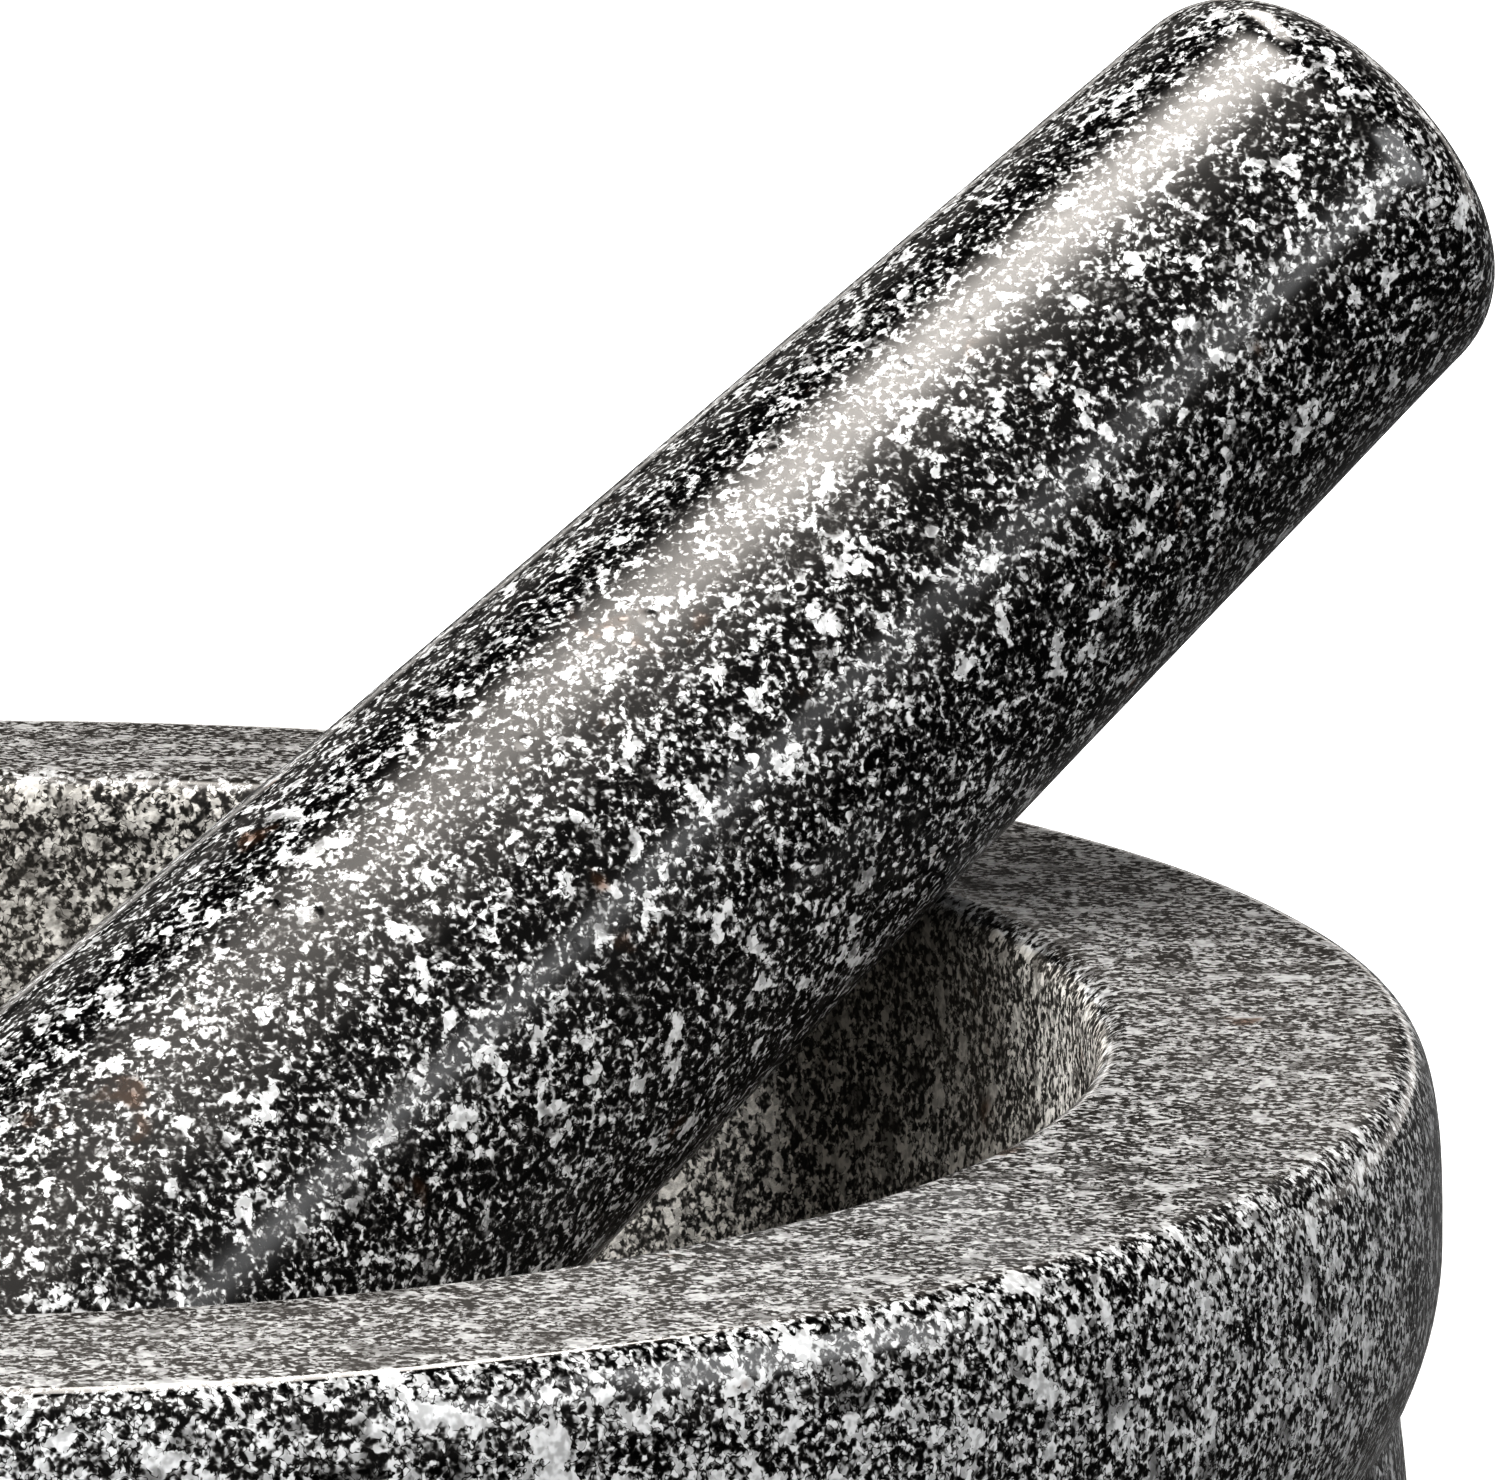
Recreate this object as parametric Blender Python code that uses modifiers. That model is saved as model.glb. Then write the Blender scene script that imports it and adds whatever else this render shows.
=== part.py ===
"""A stone mortar with a banded rim, the pestle that leans in its bowl, and the pad under its foot.

Units are metres and +Z is up. The origin is the centre of the pad's underside, on the worktop, and the
mortar's axis is the Z axis. The pestle lies in the upright plane through that axis at LEAN_AZIMUTH,
resting on the bowl's inner edge on one side and on the bowl's wall on the other.
"""

import math

import bpy
from mathutils import Matrix

# Mortar: driving dimensions
RIM_RADIUS = 0.100            # widest radius, on the side of the rim band
MORTAR_HEIGHT = 0.120         # from the worktop to the rim's flat top
RIM_TOP_RADIUS = 0.096        # outer radius of the flat top, where its outer round starts
BAND_BULGE_DROP = 0.0137      # below the top, where the band is widest
BAND_ROUND_POWER = 2.94       # squareness of the band's outer round; 2 is a plain ellipse
BAND_HEIGHT = 0.0245          # below the top, at the crease under the band
CREASE_RADIUS = 0.0971

# Bowl
BOWL_RADIUS = 0.0772          # at the foot of the bowl's inner edge
BOWL_DEPTH = 0.0828           # below the rim's top, on the axis
BOWL_POWER = 2.2              # fullness of the bowl's section; 2 is a plain ellipse
LIP_WIDTH = 0.0022            # radial width of the rounded inner edge
LIP_DROP = 0.0024             # height of the rounded inner edge

# Body and foot
BELLY_RADIUS = 0.0983         # widest radius of the body under the band
BELLY_DROP = 0.042            # below the rim's top, where the body is widest
BODY_CURVE_RADIUS = 0.090     # of the body's section, from the belly down to the foot
FOOT_NECK_HEIGHT = 0.0105     # above the worktop, where the body meets the foot
FOOT_RADIUS = 0.0680
FOOT_CHAMFER = 0.0015

# Pad under the foot
PAD_RADIUS = 0.048
PAD_THICKNESS = 0.0025
PAD_EDGE = 0.0005             # bevel around the pad's edges
GAP = 0.0003                  # left between pieces that touch

# Pestle
PESTLE_LENGTH = 0.200
PESTLE_TOP_RADIUS = 0.0154    # where the rounded top end meets the shaft
PESTLE_TAPER = 0.0437         # growth of the shaft's radius for each unit of length
TOP_END_HEIGHT = 0.00885      # of the rounded top end
TOP_END_POWER = 2.55
GRIND_END_HEIGHT = 0.016      # of the rounded grinding end
GRIND_END_POWER = 2.2
LEAN_AZIMUTH = math.radians(34.0)    # from +X towards +Y, the way the pestle's top leans
LEAN_TILT = math.radians(34.16)      # of the pestle's axis above the level
TOP_REACH = 0.1179            # from the mortar's axis to the pestle's top end, level
TOP_RISE = 0.0484             # of the pestle's top end above the rim's top

MORTAR_STEPS = 72
PESTLE_STEPS = 40
PAD_STEPS = 72
MERGE_DISTANCE = 0.00001

COLLECTION_NAME = "molcajete"


def clear_scene():
    for old in list(bpy.data.objects):
        bpy.data.objects.remove(old, do_unlink=True)


def make_collection(name):
    collection = bpy.data.collections.new(name)
    bpy.context.scene.collection.children.link(collection)
    return collection


def make_material(name, colour, roughness):
    material = bpy.data.materials.new(name)
    material.use_nodes = True
    shader = material.node_tree.nodes["Principled BSDF"]
    shader.inputs["Base Color"].default_value = (*colour, 1.0)
    shader.inputs["Roughness"].default_value = roughness
    shader.inputs["Metallic"].default_value = 0.0
    return material


def quarter_round(width, height, power, points):
    """Points (across, down) of a quarter superellipse, from its crown (0, 0) to (width, height)."""
    turns = [math.radians(90.0) * i / (points - 1) for i in range(points)]
    return [
        (width * math.sin(t) ** (2 / power), height * (1 - abs(math.cos(t)) ** (2 / power)))
        for t in turns
    ]


def bowl_outline():
    """From the middle of the bowl's floor up its wall to the flat top, as (radius, height)."""
    top = MORTAR_HEIGHT
    lip_z = top - LIP_DROP
    wall = [
        (across, top - BOWL_DEPTH + down)
        for across, down in quarter_round(BOWL_RADIUS, BOWL_DEPTH - LIP_DROP, BOWL_POWER, 15)
    ]
    lip = [
        (BOWL_RADIUS + LIP_WIDTH * (1 - math.cos(t)), lip_z + LIP_DROP * math.sin(t))
        for t in (math.radians(a) for a in (30, 60, 90))
    ]
    return wall + lip


def band_outline():
    """From the outer edge of the flat top down the band's side to the crease under it."""
    top = MORTAR_HEIGHT
    side = [
        (RIM_TOP_RADIUS + across, top - down)
        for across, down in quarter_round(
            RIM_RADIUS - RIM_TOP_RADIUS, BAND_BULGE_DROP, BAND_ROUND_POWER, 9
        )
    ]
    tuck_height = BAND_HEIGHT - BAND_BULGE_DROP
    tuck = [
        (RIM_RADIUS - (RIM_RADIUS - CREASE_RADIUS) * s * s, top - BAND_BULGE_DROP - tuck_height * s)
        for s in (0.25, 0.5, 0.75, 1.0)
    ]
    return side + tuck


def body_outline():
    """From under the crease, out to the belly, and down to the neck above the foot."""
    belly_z = MORTAR_HEIGHT - BELLY_DROP
    rise = BELLY_DROP - BAND_HEIGHT
    shoulder = [
        (BELLY_RADIUS - (BELLY_RADIUS - CREASE_RADIUS) * s * s, belly_z + rise * s)
        for s in (0.75, 0.5, 0.25)
    ]
    lowest = math.asin((belly_z - FOOT_NECK_HEIGHT) / BODY_CURVE_RADIUS)
    centre = BELLY_RADIUS - BODY_CURVE_RADIUS
    steps = 11
    curve = [
        (
            centre + BODY_CURVE_RADIUS * math.cos(lowest * i / steps),
            belly_z - BODY_CURVE_RADIUS * math.sin(lowest * i / steps),
        )
        for i in range(steps + 1)
    ]
    return shoulder + curve


def foot_outline():
    """From the neck out over the foot ring and in to the middle of the stone's underside."""
    base_z = PAD_THICKNESS + GAP
    shoulder_z = FOOT_NECK_HEIGHT - FOOT_CHAMFER
    return [
        (FOOT_RADIUS, shoulder_z),
        (FOOT_RADIUS, base_z + FOOT_CHAMFER),
        (FOOT_RADIUS - FOOT_CHAMFER, base_z),
        (0.0, base_z),
    ]


def pestle_outline():
    """From the top end (height PESTLE_LENGTH) down the shaft to the grinding tip (height 0)."""
    shaft_top = PESTLE_LENGTH - TOP_END_HEIGHT
    shaft_length = shaft_top - GRIND_END_HEIGHT
    grind_radius = PESTLE_TOP_RADIUS + PESTLE_TAPER * shaft_length
    top_end = [
        (across, PESTLE_LENGTH - down)
        for across, down in quarter_round(PESTLE_TOP_RADIUS, TOP_END_HEIGHT, TOP_END_POWER, 9)
    ]
    steps = 8
    shaft = [
        (
            PESTLE_TOP_RADIUS + (grind_radius - PESTLE_TOP_RADIUS) * i / steps,
            shaft_top - shaft_length * i / steps,
        )
        for i in range(1, steps)
    ]
    grind_end = [
        (across, down)
        for across, down in quarter_round(grind_radius, GRIND_END_HEIGHT, GRIND_END_POWER, 11)
    ]
    return top_end + shaft + grind_end[::-1]


def make_turned(name, outline, steps, material, collection):
    """A closed solid of revolution about its own Z from a (radius, height) outline."""
    mesh = bpy.data.meshes.new(name)
    points = [(radius, 0.0, height) for radius, height in outline]
    edges = [(i, i + 1) for i in range(len(points) - 1)]
    mesh.from_pydata(points, edges, [])
    mesh.materials.append(material)
    turned = bpy.data.objects.new(name, mesh)
    collection.objects.link(turned)
    screw = turned.modifiers.new("turn", "SCREW")
    screw.axis = "Z"
    screw.angle = math.radians(360.0)
    screw.steps = steps
    screw.render_steps = steps
    screw.use_merge_vertices = True
    screw.merge_threshold = MERGE_DISTANCE
    screw.use_smooth_shade = True
    return turned


def make_mortar(material, collection):
    outline = bowl_outline() + band_outline() + body_outline() + foot_outline()
    return make_turned("mortar", outline, MORTAR_STEPS, material, collection)


def make_pestle(material, collection):
    """The pestle, leaning: its own origin is at the grinding tip, and its own +Z runs to its top end."""
    pestle = make_turned("pestle", pestle_outline(), PESTLE_STEPS, material, collection)
    tip_reach = TOP_REACH - PESTLE_LENGTH * math.cos(LEAN_TILT)
    tip_z = MORTAR_HEIGHT + TOP_RISE - PESTLE_LENGTH * math.sin(LEAN_TILT)
    tip = Matrix.Translation(
        (tip_reach * math.cos(LEAN_AZIMUTH), tip_reach * math.sin(LEAN_AZIMUTH), tip_z)
    )
    lean = Matrix.Rotation(math.radians(90.0) - LEAN_TILT, 4, "Y")
    pestle.matrix_world = tip @ Matrix.Rotation(LEAN_AZIMUTH, 4, "Z") @ lean
    return pestle


def make_base_pad(material, collection):
    """The round pad stuck under the foot; its underside is the face that the mortar stands on."""
    bpy.ops.mesh.primitive_cylinder_add(
        vertices=PAD_STEPS,
        radius=PAD_RADIUS,
        depth=PAD_THICKNESS,
        location=(0.0, 0.0, PAD_THICKNESS / 2),
    )
    pad = bpy.context.active_object
    pad.name = "base_pad"
    pad.data.name = "base_pad"
    pad.data.materials.append(material)
    pad.data.shade_smooth()
    pad.data.set_sharp_from_angle(angle=math.radians(30.0))
    bevel = pad.modifiers.new("edge", "BEVEL")
    bevel.width = PAD_EDGE
    bevel.segments = 2
    bevel.limit_method = "ANGLE"
    for owner in list(pad.users_collection):
        owner.objects.unlink(pad)
    collection.objects.link(pad)
    return pad


def main():
    clear_scene()
    collection = make_collection(COLLECTION_NAME)
    granite = make_material("polished granite", (0.13, 0.13, 0.132), 0.2)
    felt = make_material("black felt", (0.02, 0.02, 0.021), 0.95)
    make_mortar(granite, collection)
    make_pestle(granite, collection)
    make_base_pad(felt, collection)


main()
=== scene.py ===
"""Looks of the stone mortar and its pestle: polished speckled granite, a ground bowl, and a felt pad.

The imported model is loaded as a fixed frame, and the fine pieces are built around it in metres, +Z up.
Each piece has its own operator, and the sizes and colours are properties in the 3D view's sidebar.
"""

import math

import bpy
import numpy as np
from mathutils import Matrix, Vector


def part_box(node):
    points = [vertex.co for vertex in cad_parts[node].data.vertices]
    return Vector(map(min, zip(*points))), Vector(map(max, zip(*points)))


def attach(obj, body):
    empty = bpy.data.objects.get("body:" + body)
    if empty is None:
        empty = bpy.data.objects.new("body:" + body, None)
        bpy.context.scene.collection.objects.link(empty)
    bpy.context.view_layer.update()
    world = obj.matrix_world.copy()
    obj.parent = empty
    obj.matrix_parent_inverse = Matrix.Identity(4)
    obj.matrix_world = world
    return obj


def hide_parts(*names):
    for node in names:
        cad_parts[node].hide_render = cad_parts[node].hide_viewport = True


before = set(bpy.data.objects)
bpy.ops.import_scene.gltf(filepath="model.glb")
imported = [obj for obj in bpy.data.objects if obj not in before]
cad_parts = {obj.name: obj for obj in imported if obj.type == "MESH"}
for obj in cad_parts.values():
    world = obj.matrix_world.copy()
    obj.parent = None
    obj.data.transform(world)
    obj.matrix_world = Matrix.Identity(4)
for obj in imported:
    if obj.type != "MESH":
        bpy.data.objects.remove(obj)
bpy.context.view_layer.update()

bl_info = {
    "name": "Stone Mortar and Pestle",
    "version": (1, 0, 0),
    "blender": (4, 5, 0),
    "location": "3D View > Sidebar > Mortar",
    "description": "Builds a polished granite mortar, its pestle and its felt pad, with a plain studio",
    "category": "Add Mesh",
}

MORTAR_LOW, MORTAR_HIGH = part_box("mortar")
PAD_LOW, PAD_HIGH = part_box("base_pad")

# Squareness of the rounded sections: 2 is a plain ellipse.
BOWL_SQUARENESS = 2.2
BAND_SQUARENESS = 2.94
TOP_END_SQUARENESS = 2.55
GRIND_END_SQUARENESS = 2.2

# Fineness of the turned meshes, in steps around the axis
MORTAR_STEPS = 432
PESTLE_STEPS = 200
PAD_STEPS = 240
MERGE_DISTANCE = 0.00001

# The bowl is ground from this share of its lip's height down.
GROUND_FROM = 0.3
BOWL_MARGIN = 0.002     # below the bowl's floor, where the ground face's mask ends

# Pad: its edge's rounding as a share of its thickness, and the nap there
PAD_ROUND = 0.3
NAP_SCALE = 0.0012
NAP_DEPTH = 0.00012

# Scale of the roughening and of the turned faces' wander
GRIND_SCALE = 0.0016
MORTAR_WANDER_SCALE = 0.030
PESTLE_WANDER_SCALE = 0.022

# Depth of the relief at 1 in the materials
POLISHED_RELIEF = 0.00003
MORTAR_RELIEF = 0.00012
STONE_IOR = 1.5

# Painted haze on the rim's flat top, a pale film that stands in for its grazing reflection of the bright
# surroundings: drops below the top where it begins and is full, and how much there is
HAZE_BEGINS = 0.0005
HAZE_FULL = 0.00032
HAZE_SHARE = 0.3

# Ragged edge of the ground face: its height, the noise's scale, and the softness of the change
RAGGED_HEIGHT = 0.0010
RAGGED_SCALE = 300.0
RAGGED_SOFTNESS = 0.0003

# Offsets that keep patterns of one scale from falling together
PATCH_OFFSET = (0.31, 0.17, 0.05)
SEAM_OFFSET = (0.07, 0.43, 0.29)

WHITE = 1.15            # strength of the white that the camera sees around the object
FLOOR_RADIUS = 40.0
LIT_POINT = (0.05, 0.0, 0.13)    # what the soft lights face


# ---------------------------------------------------------------- sizes and looks

def length(name, description, default):
    """A length in metres for the sidebar."""
    return bpy.props.FloatProperty(
        name=name, description=description, default=default, min=0.0, precision=5, unit="LENGTH"
    )


def angle(name, description, degrees):
    """An angle for the sidebar, given here in degrees."""
    return bpy.props.FloatProperty(
        name=name, description=description, default=math.radians(degrees), subtype="ANGLE"
    )


def power(name, description, watts):
    """A light's power for the sidebar."""
    return bpy.props.FloatProperty(
        name=name, description=description, default=watts, min=0.0, unit="POWER"
    )


def share(name, description, default):
    """A number from 0 to 1 for the sidebar."""
    return bpy.props.FloatProperty(
        name=name, description=description, default=default, min=0.0, max=1.0, subtype="FACTOR"
    )


def balance(name, description, default):
    """A plain number for the sidebar."""
    return bpy.props.FloatProperty(name=name, description=description, default=default)


def colour(name, description, default):
    """A linear colour for the sidebar."""
    return bpy.props.FloatVectorProperty(
        name=name, description=description, default=default, min=0.0, max=1.0, subtype="COLOR"
    )


class MortarSizes(bpy.types.PropertyGroup):
    """Sizes of the mortar's section, measured from the rim's flat top where they are drops."""

    top_radius: length("Flat top radius", "Outer radius of the rim's flat top", 0.096)
    rim_fall: length("Rim fall", "Of the rim's top, from its inner to its outer edge", 0.00026)
    bulge_drop: length("Bulge drop", "Below the top, where the band is widest", 0.0137)
    band_height: length("Band height", "Below the top, at the crease under the band", 0.0245)
    crease_radius: length("Crease radius", "Radius at the crease under the band", 0.0971)
    bowl_radius: length("Bowl radius", "Radius of the bowl under its rounded edge", 0.0772)
    bowl_depth: length("Bowl depth", "Depth of the bowl on the axis", 0.0828)
    lip_width: length("Lip width", "Width of the bowl's rounded edge", 0.0022)
    lip_drop: length("Lip drop", "Height of the bowl's rounded edge", 0.0024)
    belly_radius: length("Belly radius", "Widest radius of the body", 0.0983)
    belly_drop: length("Belly drop", "Below the top, where the body is widest", 0.042)
    body_curve: length("Body curve", "Radius of the body's section below the belly", 0.090)
    neck_height: length("Neck height", "Where the body meets the foot", 0.0105)
    foot_radius: length("Foot radius", "Radius of the foot ring", 0.068)
    foot_round: length("Foot round", "Rounding of the foot ring's edges", 0.0015)
    grind_relief: length("Grinding relief", "Depth of the rough ground face in the bowl", 0.00016)
    turning_wander: length("Turning wander", "How far the turned faces wander", 0.00010)


class PestleSizes(bpy.types.PropertyGroup):
    """Sizes of the pestle, and how it leans in the upright plane through the mortar's axis."""

    whole_length: length("Length", "From the grinding tip to the top end", 0.200)
    lean_azimuth: angle("Lean azimuth", "From +X towards +Y, the way its top leans", 34.0)
    lean_tilt: angle("Lean tilt", "Of its axis above the level", 34.16)
    top_reach: length("Top reach", "Level, from the mortar's axis to its top end", 0.1179)
    top_rise: length("Top rise", "Of its top end above the rim's top", 0.0484)
    top_radius: length("Top radius", "Radius where the rounded top end meets the shaft", 0.0154)
    taper: balance("Taper", "Growth of the radius for each unit of length", 0.0437)
    top_height: length("Top end height", "Height of the rounded top end", 0.00885)
    grind_height: length("Grinding end height", "Height of the rounded grinding end", 0.016)
    turning_wander: length("Turning wander", "How far the turned face wanders", 0.00010)


class GraniteLook(bpy.types.PropertyGroup):
    """Minerals of the stone."""

    dark: colour("Dark mineral", "Colour of the black grains", (0.003, 0.003, 0.0032))
    middle: colour("Grey mineral", "Colour of the clear grey grains", (0.075, 0.074, 0.072))
    light: colour("Light mineral", "Colour of the white grains", (0.70, 0.71, 0.72))
    rust: colour("Rust stain", "Colour of the rare rust stains", (0.20, 0.095, 0.04))
    dust: colour("Ground dust", "Colour of the ground face in the bowl", (0.40, 0.37, 0.325))
    # Painted reflection haze: the colour laid over the rim's flat top in place of its grazing reflection
    # of the bright surroundings
    rim_painted_haze: colour("Rim wear", "Colour of the handled rim's dull film", (0.13, 0.120, 0.108))
    mortar_grain: length("Mortar grain", "Size of the mortar's grains", 0.00056)
    mortar_fleck: length("Mortar fleck", "Size of the mortar's large crystals", 0.0024)
    pestle_grain: length("Pestle grain", "Size of the pestle's grains", 0.00054)
    pestle_fleck: length("Pestle fleck", "Size of the pestle's large crystals", 0.0020)
    mortar_light: balance("Mortar light", "Raises the mortar's share of light grains", 1.2)
    mortar_clusters: balance("Mortar clusters", "How much its large crystals stand out", 1.5)
    pestle_light: balance("Pestle light", "Raises the pestle's share of light grains", 0.2)
    pestle_clusters: balance("Pestle clusters", "How much its large crystals stand out", 1.25)
    mortar_polish: share("Mortar polish", "Roughness of the mortar's polished faces", 0.07)
    pestle_polish: share("Pestle polish", "Roughness of the pestle", 0.125)
    ground: share("Ground roughness", "Roughness of the ground bowl", 0.72)


class StudioSetup(bpy.types.PropertyGroup):
    """Camera, lights and floor."""

    camera_distance: length("Camera distance", "From the point it looks at", 1.30)
    camera_elevation: angle("Camera elevation", "Above the level", 12.24)
    camera_lens: balance("Focal length", "In millimetres on a 36 mm sensor", 476.6)
    aim_right: length("Aim right", "Of the mortar's axis, to +X", 0.05447)
    aim_above: length("Aim above", "Above the rim's top", 0.01927)
    key_power: power("Overhead power", "Of the overhead softbox", 18.0)
    back_power: power("Back strip power", "Of the long strip above and behind", 4.2)
    wide_power: power("Wide overhead power", "Of the wide softbox above the front", 2.8)
    fill_power: power("Left power", "Of the left softbox", 20.0)
    front_power: power("Front left power", "Of the softbox in front, on the left", 4.5)
    side_power: power("Right power", "Of the right softbox", 7.5)
    strip_power: power("Strip power", "Of the small strip on the right", 2.6)
    key_tint: colour("Overhead tint", "Colour of the overhead softboxes", (1.0, 0.96, 0.915))
    fill_tint: colour("Side tint", "Colour of the side softboxes", (0.98, 0.99, 1.0))
    floor: colour("Floor", "Colour of the floor", (0.8, 0.8, 0.8))


# ---------------------------------------------------------------- outlines and turned meshes

def quarter_round(width, height, squareness, points):
    """Points (across, down) of a quarter superellipse, from its crown (0, 0) to (width, height)."""
    turns = [math.radians(90.0) * i / (points - 1) for i in range(points)]
    return [
        (
            width * math.sin(t) ** (2 / squareness),
            height * (1 - abs(math.cos(t)) ** (2 / squareness)),
        )
        for t in turns
    ]


def between(start, end, steps):
    """Points from just after start up to end."""
    (r0, z0), (r1, z1) = start, end
    return [(r0 + (r1 - r0) * i / steps, z0 + (z1 - z0) * i / steps) for i in range(1, steps + 1)]


def bowl_outline(sizes):
    """From the middle of the bowl's floor up to the foot of its rounded edge."""
    floor = MORTAR_HIGH.z - sizes.bowl_depth
    wall = quarter_round(
        sizes.bowl_radius, sizes.bowl_depth - sizes.lip_drop, BOWL_SQUARENESS, 120
    )
    return [(across, floor + down) for across, down in wall]


def lip_outline(sizes):
    """The bowl's rounded edge, up to the rim's top."""
    return [
        (
            sizes.bowl_radius + sizes.lip_width * (1 - math.cos(t)),
            MORTAR_HIGH.z - sizes.lip_drop * (1 - math.sin(t)),
        )
        for t in np.radians(np.linspace(10.0, 90.0, 9))
    ]


def band_outline(sizes):
    """From the rim top's outer edge down the band's side to the crease under it."""
    top, rim_radius = MORTAR_HIGH.z, MORTAR_HIGH.x
    outer_top = top - sizes.rim_fall
    side = [
        (sizes.top_radius + across, outer_top - down)
        for across, down in quarter_round(
            rim_radius - sizes.top_radius, sizes.bulge_drop - sizes.rim_fall, BAND_SQUARENESS, 22
        )
    ]
    tuck = sizes.band_height - sizes.bulge_drop
    under = [
        (rim_radius - (rim_radius - sizes.crease_radius) * s * s, top - sizes.bulge_drop - tuck * s)
        for s in np.linspace(0.1, 1.0, 10)
    ]
    return side + under


def body_outline(sizes):
    """From under the crease, out to the belly, and down to the neck above the foot."""
    belly_z = MORTAR_HIGH.z - sizes.belly_drop
    shoulder = [
        (
            sizes.belly_radius - (sizes.belly_radius - sizes.crease_radius) * s * s,
            belly_z + (sizes.belly_drop - sizes.band_height) * s,
        )
        for s in np.linspace(0.97, 0.1, 11)
    ]
    centre = sizes.belly_radius - sizes.body_curve
    lowest = math.asin((belly_z - sizes.neck_height) / sizes.body_curve)
    curve = [
        (centre + sizes.body_curve * math.cos(t), belly_z - sizes.body_curve * math.sin(t))
        for t in np.linspace(0.0, lowest, 34)
    ]
    return shoulder + curve


def foot_outline(sizes):
    """From the neck over the foot ring's rounded edges and in to the middle of the underside."""
    base, corner, foot = MORTAR_LOW.z, sizes.foot_round, sizes.foot_radius
    ring = [
        (foot - corner + corner * math.sin(t), sizes.neck_height - corner * (2 - math.cos(t)) + corner)
        for t in np.radians(np.linspace(20.0, 90.0, 5))
    ]
    heel = [
        (foot - corner + corner * math.cos(t), base + corner - corner * math.sin(t))
        for t in np.radians(np.linspace(0.0, 90.0, 6))
    ]
    return ring + heel + between(heel[-1], (0.0, base), 6)


def mortar_outline(sizes):
    """The mortar's section as stretches of (radius, height), from the bowl's floor to the underside."""
    lip = lip_outline(sizes)
    outer_edge = (sizes.top_radius, MORTAR_HIGH.z - sizes.rim_fall)
    return {
        "bowl": bowl_outline(sizes),
        "lip": lip,
        "rim": between(lip[-1], outer_edge, 8)[:-1],
        "band": band_outline(sizes),
        "body": body_outline(sizes),
        "foot": foot_outline(sizes),
    }


def pestle_outline(sizes, whole):
    """The pestle's section from its top end at height whole down to its grinding tip at 0."""
    shaft_top = whole - sizes.top_height
    grind_radius = sizes.top_radius + sizes.taper * (shaft_top - sizes.grind_height)
    top_end = quarter_round(sizes.top_radius, sizes.top_height, TOP_END_SQUARENESS, 26)
    top_end = [(across, whole - down) for across, down in top_end]
    grind_end = quarter_round(grind_radius, sizes.grind_height, GRIND_END_SQUARENESS, 30)
    return {
        "top end": top_end,
        "shaft": between(top_end[-1], (grind_radius, sizes.grind_height), 130),
        "grinding end": grind_end[::-1][1:],
    }


def pad_outline():
    """The pad's section, from the middle of its upper face around its edge to its underside."""
    radius, low, high = PAD_HIGH.x, PAD_LOW.z, PAD_HIGH.z
    corner = (high - low) * PAD_ROUND
    turns = np.radians(np.linspace(0.0, 90.0, 6))
    upper = [
        (radius - corner + corner * math.sin(t), high - corner + corner * math.cos(t)) for t in turns
    ]
    lower = [
        (radius - corner + corner * math.cos(t), low + corner - corner * math.sin(t)) for t in turns
    ]
    return {
        "face": [(0.0, high)] + between((0.0, high), upper[0], 30)[:-1],
        "edge": upper + lower,
        "underside": between(lower[-1], (0.0, low), 30),
    }


def turned(name, stretches, steps):
    """A closed solid of revolution about its own Z. Each named stretch becomes a vertex group."""
    points = [point for stretch in stretches.values() for point in stretch]
    mesh = bpy.data.meshes.new(name)
    mesh.from_pydata(
        [(r, 0.0, z) for r, z in points], [(i, i + 1) for i in range(len(points) - 1)], []
    )
    piece = bpy.data.objects.new(name, mesh)
    bpy.context.scene.collection.objects.link(piece)
    first = 0
    for stretch, own in stretches.items():
        numbers = list(range(first, first + len(own)))
        piece.vertex_groups.new(name=stretch).add(numbers, 1.0, "REPLACE")
        first += len(own)
    screw = piece.modifiers.new("turn", "SCREW")
    screw.steps = screw.render_steps = steps
    screw.use_merge_vertices = True
    screw.merge_threshold = MERGE_DISTANCE
    screw.use_smooth_shade = True
    return piece


def settle(piece, place=Matrix()):
    """Applies the piece's modifiers and moves its mesh by place, so that its box is its own."""
    made = piece.evaluated_get(bpy.context.evaluated_depsgraph_get())
    mesh = bpy.data.meshes.new_from_object(made)
    mesh.transform(place)
    piece.modifiers.clear()
    piece.vertex_groups.clear()
    piece.data = mesh


def roughen(piece, name, scale, depth, stretch=""):
    """Moves the surface, or one stretch of it, in and out by depth, in clouds of about that scale."""
    pattern = bpy.data.textures.new(f"{piece.name} {name}", "CLOUDS")
    pattern.noise_scale = scale
    pattern.noise_depth = 2
    displace = piece.modifiers.new(name, "DISPLACE")
    displace.texture = pattern
    displace.texture_coords = "LOCAL"
    displace.strength = depth
    displace.mid_level = 0.5
    displace.vertex_group = stretch


# ---------------------------------------------------------------- node helpers

def add(tree, kind, sockets=None, **settings):
    """Adds a node; sockets maps an input's name or number to a value or to an output to link."""
    made = tree.nodes.new(kind)
    for key, value in settings.items():
        setattr(made, key, value)
    for key, value in (sockets or {}).items():
        if isinstance(value, bpy.types.NodeSocket):
            tree.links.new(value, made.inputs[key])
        else:
            made.inputs[key].default_value = value
    return made


def maths(tree, operation, a, b=0.0, c=0.0, clamp=False):
    made = add(
        tree, "ShaderNodeMath", {0: a, 1: b, 2: c}, operation=operation, use_clamp=clamp
    )
    return made.outputs[0]


def vector_maths(tree, operation, a, b):
    return add(tree, "ShaderNodeVectorMath", {0: a, 1: b}, operation=operation).outputs[0]


def blend(tree, factor, a, b):
    """A value between a and b."""
    return add(tree, "ShaderNodeMix", {0: factor, 2: a, 3: b}, data_type="FLOAT").outputs[0]


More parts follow.
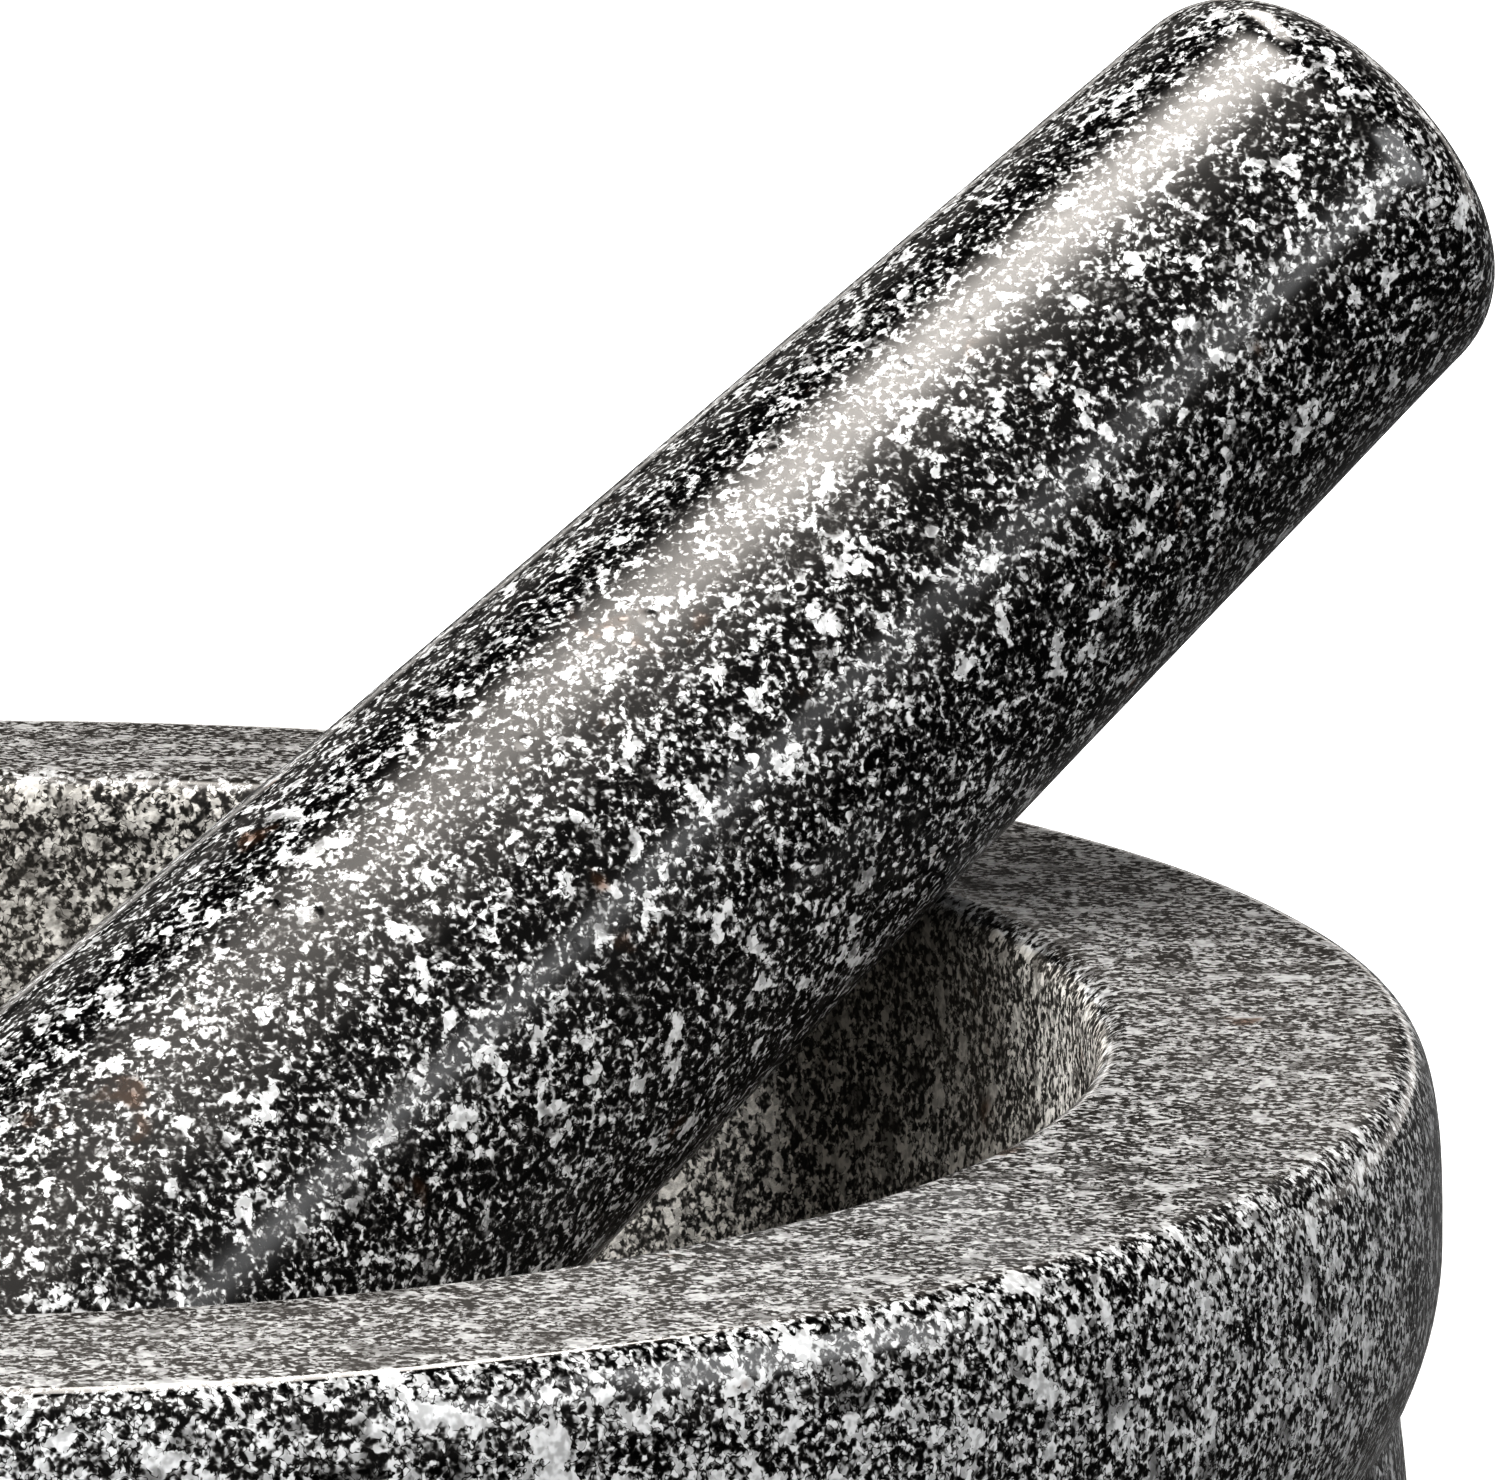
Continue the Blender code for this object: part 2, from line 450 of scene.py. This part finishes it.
def blend_colour(tree, factor, a, b, mode="MIX"):
    made = add(tree, "ShaderNodeMix", {0: factor, 6: a, 7: b}, data_type="RGBA", blend_type=mode)
    return made.outputs[2]


def from_middle(tree, value):
    """How far a 0 to 1 value is from its middle."""
    return maths(tree, "ABSOLUTE", maths(tree, "SUBTRACT", value, 0.5))


def spread(tree, value, low, high, to_low=0.0, to_high=1.0, smooth=True):
    """Maps value from low..high to to_low..to_high, held at both ends."""
    made = add(
        tree, "ShaderNodeMapRange",
        {"Value": value, "From Min": low, "From Max": high, "To Min": to_low, "To Max": to_high},
        interpolation_type="SMOOTHSTEP" if smooth else "LINEAR",
    )
    return made.outputs["Result"]


def noise_of(tree, place, scale, detail, roughness=0.5):
    """Soft noise from 0 to 1, about 0.5."""
    made = add(
        tree, "ShaderNodeTexNoise",
        {"Vector": place, "Scale": scale, "Detail": detail, "Roughness": roughness},
    )
    return made.outputs["Fac"]


def axes_of(tree, vector):
    """The X, Y and Z outputs of a vector."""
    return add(tree, "ShaderNodeSeparateXYZ", {"Vector": vector}).outputs


def new_group(name, inputs, outputs):
    """A shader node group with its sockets, and its input and output nodes."""
    group = bpy.data.node_groups.new(name, "ShaderNodeTree")
    for socket, (kind, default) in inputs.items():
        made = group.interface.new_socket(socket, in_out="INPUT", socket_type=kind)
        if default is not None:
            made.default_value = default
    for socket, kind in outputs.items():
        group.interface.new_socket(socket, in_out="OUTPUT", socket_type=kind)
    return group, group.nodes.new("NodeGroupInput"), group.nodes.new("NodeGroupOutput")


def rgba(colour_value):
    return (*colour_value, 1.0)


# ---------------------------------------------------------------- shared effects

FLOAT, COLOUR, VECTOR = "NodeSocketFloat", "NodeSocketColor", "NodeSocketVector"


def grown_place(group, place, grain, grain_scale):
    """The place jittered a little: crystals grow into each other, so their outlines wander."""
    jitter = add(
        group, "ShaderNodeTexNoise",
        {"Vector": place, "Scale": maths(group, "MULTIPLY", grain_scale, 0.55), "Detail": 1.0},
    )
    shift = vector_maths(group, "SUBTRACT", jitter.outputs["Color"], (0.5, 0.5, 0.5))
    reach = maths(group, "MULTIPLY", grain, 0.55)
    shift = add(group, "ShaderNodeVectorMath", {0: shift, 3: reach}, operation="SCALE").outputs[0]
    return vector_maths(group, "ADD", place, shift)


def crystals_group():
    """Granite minerals: dark and light grains, larger light crystals, seams, patches and rust stains."""
    group, given, out = new_group(
        "Granite crystals",
        {
            "Vector": (VECTOR, None),
            "Grain": (FLOAT, 0.001), "Fleck": (FLOAT, 0.003),
            "Light share": (FLOAT, 0.0), "Clusters": (FLOAT, 1.0), "Contrast": (FLOAT, 13.0),
            "Seams": (FLOAT, 2.0),
            "Dark": (COLOUR, None), "Middle": (COLOUR, None), "Light": (COLOUR, None),
            "Rust": (COLOUR, None),
        },
        {"Colour": COLOUR, "Lightness": FLOAT},
    )
    place = given.outputs["Vector"]
    grain_scale = maths(group, "DIVIDE", 1.0, given.outputs["Grain"])
    fleck_scale = maths(group, "DIVIDE", 1.0, given.outputs["Fleck"])
    grown = grown_place(group, place, given.outputs["Grain"], grain_scale)

    grains = noise_of(group, grown, grain_scale, 1.4, 0.6)
    crystals = noise_of(group, grown, fleck_scale, 1.5, 0.55)
    drift = noise_of(group, place, maths(group, "MULTIPLY", fleck_scale, 0.3), 1.0)
    patch_scale = maths(group, "MULTIPLY", fleck_scale, 0.8)
    patches = noise_of(group, vector_maths(group, "ADD", grown, PATCH_OFFSET), patch_scale, 1.0)
    winding = noise_of(group, vector_maths(group, "ADD", grown, SEAM_OFFSET), grain_scale, 1.0)

    # How light the stone is at each point, about 0: grains, clusters of larger crystals, slow drift.
    lightness = maths(
        group, "MULTIPLY", maths(group, "SUBTRACT", grains, 0.5), given.outputs["Contrast"]
    )
    cluster = maths(group, "MULTIPLY_ADD", crystals, 3.0, -1.5)
    cluster = maths(group, "ADD", cluster, spread(group, crystals, 0.61, 0.67, 0.0, 2.0))
    lightness = maths(group, "MULTIPLY_ADD", cluster, given.outputs["Clusters"], lightness)
    drift = maths(group, "SUBTRACT", drift, 0.5)
    lightness = maths(group, "MULTIPLY_ADD", drift, 1.5, lightness)
    lightness = maths(group, "ADD", lightness, given.outputs["Light share"])

    # Thin dark seams wind between the light grains.
    seam = spread(group, from_middle(group, winding), 0.0, 0.05, 1.0, 0.0)
    darkening = maths(group, "MULTIPLY", given.outputs["Seams"], -1.0)
    lightness = maths(group, "MULTIPLY_ADD", seam, darkening, lightness)

    # Clear grey patches cover some of the light grains.
    grey = spread(group, lightness, -1.2, 0.8)
    patch = spread(group, patches, 0.60, 0.68, 0.0, 0.5)
    patch = maths(group, "MULTIPLY", patch, spread(group, grains, 0.40, 0.56, 0.15, 1.0))
    uncovered = maths(group, "MULTIPLY_ADD", patch, -1.2, 1.0, clamp=True)
    light = maths(group, "MULTIPLY", spread(group, lightness, 0.0, 2.4), uncovered)
    stone = blend_colour(
        group, maths(group, "MAXIMUM", grey, patch), given.outputs["Dark"], given.outputs["Middle"]
    )
    cleavage = spread(group, winding, 0.34, 0.62, 0.72, 1.12)
    white = blend_colour(group, 1.0, given.outputs["Light"], cleavage, "MULTIPLY")
    stone = blend_colour(group, light, stone, white)

    stain = noise_of(group, place, maths(group, "MULTIPLY", fleck_scale, 0.32), 3.0, 0.6)
    stain = maths(group, "MULTIPLY", spread(group, stain, 0.665, 0.75), 0.8)
    rusty = blend_colour(group, 1.0, stone, given.outputs["Rust"], "MULTIPLY")
    rusty = blend_colour(group, 0.22, rusty, given.outputs["Rust"])

    group.links.new(blend_colour(group, stain, stone, rusty), out.inputs["Colour"])
    group.links.new(light, out.inputs["Lightness"])
    return group


def polish_group():
    """Roughness of a hand-polished face, with cloudy handling marks and rare small pits."""
    group, given, out = new_group(
        "Worn polish",
        {"Vector": (VECTOR, None), "Lightness": (FLOAT, 0.0), "Polish": (FLOAT, 0.17)},
        {"Roughness": FLOAT, "Pits": FLOAT},
    )
    place = given.outputs["Vector"]
    cloudy = spread(group, noise_of(group, place, 55.0, 4.0, 0.6), 0.35, 0.75, -0.02, 0.06)
    grainy = maths(group, "MULTIPLY", given.outputs["Lightness"], 0.05)
    uneven = maths(group, "ADD", cloudy, grainy)
    rough = maths(group, "ADD", given.outputs["Polish"], uneven)
    holes = add(group, "ShaderNodeTexVoronoi", {"Vector": place, "Scale": 420.0})
    chance = add(group, "ShaderNodeSeparateColor", {"Color": holes.outputs["Color"]}).outputs[2]
    rare = spread(group, chance, 0.88, 0.93)
    hole = spread(group, holes.outputs["Distance"], 0.12, 0.34, 1.0, 0.0)
    group.links.new(rough, out.inputs["Roughness"])
    group.links.new(maths(group, "MULTIPLY", rare, hole), out.inputs["Pits"])
    return group


def granite(name, look, grain, fleck, light_share, clusters, polish, bowl=None):
    """Polished granite, ground inside bowl: (radius, drop of its upper edge, drop of its lower end)."""
    material = bpy.data.materials.new(name)
    material.use_nodes = True
    tree = material.node_tree
    shader = tree.nodes["Principled BSDF"]
    place = tree.nodes.new("ShaderNodeTexCoord").outputs["Object"]
    stone = add(
        tree, "ShaderNodeGroup",
        node_tree=bpy.data.node_groups.get("Granite crystals") or crystals_group(),
    )
    for socket, value in (
        ("Grain", grain), ("Fleck", fleck), ("Light share", light_share), ("Clusters", clusters),
        ("Dark", rgba(look.dark)), ("Middle", rgba(look.middle)), ("Light", rgba(look.light)),
        ("Rust", rgba(look.rust)),
    ):
        stone.inputs[socket].default_value = value
    tree.links.new(place, stone.inputs["Vector"])
    finish = add(
        tree, "ShaderNodeGroup",
        node_tree=bpy.data.node_groups.get("Worn polish") or polish_group(),
    )
    finish.inputs["Polish"].default_value = polish
    tree.links.new(place, finish.inputs["Vector"])
    tree.links.new(stone.outputs["Lightness"], finish.inputs["Lightness"])
    face_colour, roughness = stone.outputs["Colour"], finish.outputs["Roughness"]
    height = maths(tree, "MULTIPLY", stone.outputs["Lightness"], 0.25)
    height = maths(tree, "MULTIPLY_ADD", finish.outputs["Pits"], -1.0, height)
    relief = POLISHED_RELIEF
    if bowl:
        # Painted reflection haze over the rim's flat top
        face_colour = paint_rim_haze(tree, place, look, face_colour)
        ground = ground_mask(tree, place, *bowl)
        face_colour = ground_colour(tree, place, look, ground, face_colour)
        roughness = blend(tree, ground, roughness, look.ground)
        height = ground_height(tree, place, ground, height)
        relief = MORTAR_RELIEF
    bump = add(tree, "ShaderNodeBump", {"Height": height, "Distance": relief, "Strength": 1.0})
    shader.inputs["IOR"].default_value = STONE_IOR
    tree.links.new(face_colour, shader.inputs["Base Color"])
    tree.links.new(roughness, shader.inputs["Roughness"])
    tree.links.new(bump.outputs["Normal"], shader.inputs["Normal"])
    return material


def paint_rim_haze(tree, place, look, face_colour):
    """Paints a pale haze over the rim's flat top: a painted reflection of the bright surroundings seen
    at a grazing angle.
    """
    top = MORTAR_HIGH.z
    haze = spread(
        tree, axes_of(tree, place)["Z"], top - HAZE_BEGINS, top - HAZE_FULL, 0.0, HAZE_SHARE
    )
    return blend_colour(tree, haze, face_colour, rgba(look.rim_painted_haze))


def ground_mask(tree, place, radius, drop, depth):
    """1 on the bowl's ground face and 0 on the polished faces, with a ragged edge between."""
    axes = axes_of(tree, place)
    level = add(tree, "ShaderNodeCombineXYZ", {"X": axes["X"], "Y": axes["Y"]}).outputs[0]
    reach = add(tree, "ShaderNodeVectorMath", {0: level}, operation="LENGTH").outputs["Value"]
    lowest = MORTAR_HIGH.z - drop - RAGGED_HEIGHT / 2
    ragged = noise_of(tree, place, RAGGED_SCALE, 3.0)
    edge = maths(tree, "MULTIPLY_ADD", ragged, RAGGED_HEIGHT, lowest)
    under = maths(tree, "SUBTRACT", edge, axes["Z"])
    inside = maths(tree, "LESS_THAN", reach, radius)
    above_floor = maths(tree, "GREATER_THAN", axes["Z"], MORTAR_HIGH.z - depth)
    inside = maths(tree, "MULTIPLY", inside, above_floor)
    return maths(tree, "MULTIPLY", inside, spread(tree, under, -RAGGED_SOFTNESS, RAGGED_SOFTNESS))


def ground_colour(tree, place, look, ground, face_colour):
    """Warms the ground face a little and dusts it."""
    dusty = noise_of(tree, place, 70.0, 5.0, 0.65)
    dust = spread(tree, dusty, 0.3, 0.75, 0.03, 0.18)
    warm = blend_colour(tree, 1.0, face_colour, (1.0, 0.965, 0.91, 1.0), "MULTIPLY")
    pale = blend_colour(tree, dust, warm, rgba(look.dust))
    return blend_colour(tree, ground, face_colour, pale)


def ground_height(tree, place, ground, height):
    """Pecks the ground face, and flattens the polished one's relief."""
    pecked = noise_of(tree, place, 1300.0, 3.0, 0.6)
    rough = maths(tree, "MULTIPLY_ADD", pecked, 2.2, maths(tree, "MULTIPLY", height, 0.3))
    return blend(tree, ground, maths(tree, "MULTIPLY", height, 0.12), rough)


def felt(name):
    """Pressed black felt: matted fibres over a soft, uneven nap."""
    material = bpy.data.materials.new(name)
    material.use_nodes = True
    tree = material.node_tree
    shader = tree.nodes["Principled BSDF"]
    place = tree.nodes.new("ShaderNodeTexCoord").outputs["Object"]
    fibres = add(
        tree, "ShaderNodeTexNoise",
        {"Vector": place, "Scale": 2400.0, "Detail": 4.0, "Roughness": 0.7, "Distortion": 1.6},
    ).outputs["Fac"]
    nap = spread(tree, noise_of(tree, place, 160.0, 3.0), 0.3, 0.7, 0.5, 1.0)
    lint = maths(tree, "MULTIPLY", spread(tree, fibres, 0.35, 0.7), nap)
    shade = blend_colour(tree, lint, (0.010, 0.010, 0.011, 1.0), (0.045, 0.044, 0.043, 1.0))
    bump = add(tree, "ShaderNodeBump", {"Height": fibres, "Distance": 0.0003, "Strength": 0.8})
    shader.inputs["Roughness"].default_value = 0.95
    shader.inputs["Sheen Weight"].default_value = 0.4
    shader.inputs["Sheen Roughness"].default_value = 0.6
    tree.links.new(shade, shader.inputs["Base Color"])
    tree.links.new(bump.outputs["Normal"], shader.inputs["Normal"])
    return material


# ---------------------------------------------------------------- operators

class MORTAR_OT_mortar(bpy.types.Operator):
    """Build the mortar: banded rim, bowl, body and foot, from one block of granite"""

    bl_idname = "mortar.mortar"
    bl_label = "Mortar"

    def execute(self, context):
        sizes, look = context.scene.mortar_sizes, context.scene.granite_look
        if sizes.bowl_depth >= MORTAR_HIGH.z - MORTAR_LOW.z:
            raise RuntimeError("the bowl is deeper than the mortar is high")
        piece = turned("mortar_stone", mortar_outline(sizes), MORTAR_STEPS)
        roughen(piece, "grinding", GRIND_SCALE, sizes.grind_relief, "bowl")
        roughen(piece, "turning", MORTAR_WANDER_SCALE, sizes.turning_wander)
        settle(piece)
        lip_radius = sizes.bowl_radius + sizes.lip_width
        bowl = (lip_radius, sizes.lip_drop * GROUND_FROM, sizes.bowl_depth + BOWL_MARGIN)
        stone = granite(
            "mortar granite", look, look.mortar_grain, look.mortar_fleck, look.mortar_light,
            look.mortar_clusters, look.mortar_polish, bowl,
        )
        piece.data.materials.append(stone)
        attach(piece, "mortar")
        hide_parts("mortar")
        return {"FINISHED"}


class MORTAR_OT_pestle(bpy.types.Operator):
    """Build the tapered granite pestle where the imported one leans"""

    bl_idname = "mortar.pestle"
    bl_label = "Pestle"

    def execute(self, context):
        sizes, look = context.scene.pestle_sizes, context.scene.granite_look
        if sizes.whole_length <= sizes.top_height + sizes.grind_height:
            raise RuntimeError("the pestle is shorter than its two rounded ends")
        outwards = Vector((math.cos(sizes.lean_azimuth), math.sin(sizes.lean_azimuth), 0.0))
        axis = outwards * math.cos(sizes.lean_tilt) + Vector((0.0, 0.0, math.sin(sizes.lean_tilt)))
        top_end = outwards * sizes.top_reach + Vector((0.0, 0.0, MORTAR_HIGH.z + sizes.top_rise))
        tip = Matrix.Translation(top_end - axis * sizes.whole_length)
        piece = turned("pestle_stone", pestle_outline(sizes, sizes.whole_length), PESTLE_STEPS)
        roughen(piece, "turning", PESTLE_WANDER_SCALE, sizes.turning_wander)
        settle(piece, tip @ axis.to_track_quat("Z", "Y").to_matrix().to_4x4())
        stone = granite(
            "pestle granite", look, look.pestle_grain, look.pestle_fleck, look.pestle_light,
            look.pestle_clusters, look.pestle_polish,
        )
        piece.data.materials.append(stone)
        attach(piece, "pestle")
        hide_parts("pestle")
        return {"FINISHED"}


class MORTAR_OT_base_pad(bpy.types.Operator):
    """Build the round felt pad that is stuck under the foot"""

    bl_idname = "mortar.base_pad"
    bl_label = "Base Pad"

    def execute(self, context):
        piece = turned("base_pad_felt", pad_outline(), PAD_STEPS)
        roughen(piece, "nap", NAP_SCALE, NAP_DEPTH, "edge")
        settle(piece)
        piece.data.materials.append(felt("pressed felt"))
        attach(piece, "mortar")
        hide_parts("base_pad")
        return {"FINISHED"}


class MORTAR_OT_stage(bpy.types.Operator):
    """Set up the pale floor, the soft lights, the surroundings and the camera"""

    bl_idname = "mortar.stage"
    bl_label = "Studio"

    def execute(self, context):
        studio = context.scene.studio_setup
        make_floor(studio)
        make_surroundings(context.scene)
        make_soft_light("overhead softbox", (-0.145, 0.115, 1.27), (-0.47, 0.88, 0.0), (0.48, 1.2),
                        0.02, studio.key_power, studio.key_tint)
        make_soft_light("back strip", (0.09, 0.80, 1.12), (0.0, 1.0, 0.0), (0.22, 1.0),
                        0.36, studio.back_power, studio.key_tint)
        make_soft_light("wide overhead softbox", (0.02, -0.52, 1.32), (1.0, 0.0, 0.0), (0.70, 0.90),
                        0.2, studio.wide_power, studio.key_tint)
        make_soft_light("left softbox", (-1.18, -0.66, 0.85), (0.0, 0.0, 1.0), (1.0, 1.0),
                        0.3, studio.fill_power, studio.fill_tint)
        make_soft_light("right softbox", (1.16, -0.40, 0.76), (0.0, 0.0, 1.0), (0.8, 0.8),
                        0.3, studio.side_power, studio.fill_tint)
        make_soft_light("front left softbox", (-0.50, -1.25, 0.98), (0.0, 0.0, 1.0), (0.8, 0.8),
                        0.3, studio.front_power, studio.fill_tint)
        make_soft_light("right strip", (0.90, -0.87, 0.60), (0.0, 0.0, 1.0), (0.55, 0.42),
                        0.02, studio.strip_power, studio.fill_tint)
        make_camera(context.scene, studio)
        context.scene.view_settings.view_transform = "Standard"
        context.scene.view_settings.look = "Very High Contrast"
        return {"FINISHED"}


def make_floor(studio):
    """The floor: shaded under the object and white beyond to the camera, and dim to other rays."""
    bpy.ops.mesh.primitive_circle_add(vertices=96, radius=FLOOR_RADIUS, fill_type="NGON")
    floor = bpy.context.active_object
    floor.name = "studio_floor"
    material = bpy.data.materials.new("studio floor")
    material.use_nodes = True
    tree = material.node_tree
    shader = tree.nodes["Principled BSDF"]
    shader.inputs["Roughness"].default_value = 0.9
    place = tree.nodes.new("ShaderNodeTexCoord").outputs["Object"]
    reach = add(tree, "ShaderNodeVectorMath", {0: place}, operation="LENGTH").outputs["Value"]
    far = spread(tree, reach, 0.22, 0.65)
    behind = spread(tree, axes_of(tree, place)["Y"], 0.10, 0.50)
    seen = tree.nodes.new("ShaderNodeLightPath").outputs["Is Camera Ray"]
    strength = blend(tree, seen, 0.12, WHITE)
    glow = add(tree, "ShaderNodeEmission", {"Color": (1.0, 1.0, 1.0, 1.0), "Strength": strength})
    shade = blend_colour(tree, seen, (0.08, 0.08, 0.08, 1.0), rgba(studio.floor))
    tree.links.new(shade, shader.inputs["Base Color"])
    glowing = blend(tree, seen, behind, far)
    mixed = add(tree, "ShaderNodeMixShader", {0: glowing, 1: shader.outputs[0], 2: glow.outputs[0]})
    tree.links.new(mixed.outputs[0], tree.nodes["Material Output"].inputs["Surface"])
    floor.data.materials.append(material)


def make_surroundings(scene):
    """White to look at, and a dim room to be lit by, with a pale wall and a high window behind."""
    world = bpy.data.worlds.new("studio")
    scene.world = world
    world.use_nodes = True
    tree = world.node_tree
    background = tree.nodes["Background"]
    direction = tree.nodes.new("ShaderNodeTexCoord").outputs["Generated"]
    axes = axes_of(tree, direction)
    room = spread(tree, axes["Y"], -0.6, 0.2, 0.42, 0.06)
    behind = spread(tree, axes["Y"], 0.3, 0.8)
    horizon = spread(tree, axes["Z"], 0.03, 0.14, 0.8, 0.0)
    sill = spread(tree, axes["Z"], 0.18, 0.31, 0.0, 0.26)
    window = maths(tree, "MULTIPLY", sill, spread(tree, axes["Z"], 0.4, 0.65, 1.0, 0.0))
    room = maths(tree, "MULTIPLY_ADD", behind, maths(tree, "ADD", horizon, window), room)
    seen = tree.nodes.new("ShaderNodeLightPath").outputs["Is Camera Ray"]
    strength = blend(tree, seen, room, WHITE)
    background.inputs["Color"].default_value = (1.0, 0.965, 0.93, 1.0)
    tree.links.new(strength, background.inputs["Strength"])


def make_soft_light(name, place, along, size, core, power, tint):
    """A rectangular light at place, its length running along, fading from its core to its edges."""
    data = bpy.data.lights.new(name, "AREA")
    data.shape = "RECTANGLE"
    data.size, data.size_y = size
    data.energy = power
    data.color = tint
    data.use_nodes = True
    tree = data.node_tree
    spot = axes_of(tree, tree.nodes.new("ShaderNodeNewGeometry").outputs["Parametric"])
    fades = [spread(tree, from_middle(tree, spot[axis]), core, 0.5, 1.0, 0.0) for axis in "XY"]
    tree.links.new(maths(tree, "MULTIPLY", *fades), tree.nodes["Emission"].inputs["Strength"])
    light = bpy.data.objects.new(name, data)
    bpy.context.scene.collection.objects.link(light)
    light.visible_camera = False
    back = (Vector(place) - Vector(LIT_POINT)).normalized()
    length_axis = (Vector(along) - Vector(along).dot(back) * back).normalized()
    turn = Matrix((length_axis.cross(back), length_axis, back)).transposed()
    light.matrix_world = Matrix.Translation(place) @ turn.to_4x4()


def make_camera(scene, studio):
    data = bpy.data.cameras.new("camera")
    data.lens = studio.camera_lens
    data.sensor_width = 36.0
    data.clip_end = 100.0
    camera = bpy.data.objects.new("camera", data)
    scene.collection.objects.link(camera)
    target = Vector((studio.aim_right, 0.0, MORTAR_HIGH.z + studio.aim_above))
    tilt = studio.camera_elevation
    back = Vector((0.0, -math.cos(tilt), math.sin(tilt)))
    camera.location = target + back * studio.camera_distance
    camera.rotation_mode = "QUATERNION"
    camera.rotation_quaternion = (-back).to_track_quat("-Z", "Y")
    scene.camera = camera


class MORTAR_PT_panel(bpy.types.Panel):
    """Lists the pieces and the studio"""

    bl_idname = "MORTAR_PT_panel"
    bl_label = "Mortar and Pestle"
    bl_space_type = "VIEW_3D"
    bl_region_type = "UI"
    bl_category = "Mortar"

    def draw(self, context):
        for operator in OPERATORS:
            self.layout.operator(operator)
        for name in GROUPS:
            group = getattr(context.scene, name)
            box = self.layout.box()
            for setting in group.__annotations__:
                box.prop(group, setting)


CLASSES = (
    MortarSizes, PestleSizes, GraniteLook, StudioSetup,
    MORTAR_OT_mortar, MORTAR_OT_pestle, MORTAR_OT_base_pad, MORTAR_OT_stage, MORTAR_PT_panel,
)
GROUPS = {
    "mortar_sizes": MortarSizes, "pestle_sizes": PestleSizes,
    "granite_look": GraniteLook, "studio_setup": StudioSetup,
}
OPERATORS = ("mortar.stage", "mortar.mortar", "mortar.pestle", "mortar.base_pad")


def register():
    for cls in CLASSES:
        bpy.utils.register_class(cls)
    for name, cls in GROUPS.items():
        setattr(bpy.types.Scene, name, bpy.props.PointerProperty(type=cls))


def unregister():
    for name in GROUPS:
        delattr(bpy.types.Scene, name)
    for cls in reversed(CLASSES):
        bpy.utils.unregister_class(cls)


def main():
    register()
    bpy.ops.mortar.stage()
    bpy.ops.mortar.mortar()
    bpy.ops.mortar.pestle()
    bpy.ops.mortar.base_pad()


if __name__ == "__main__":
    main()
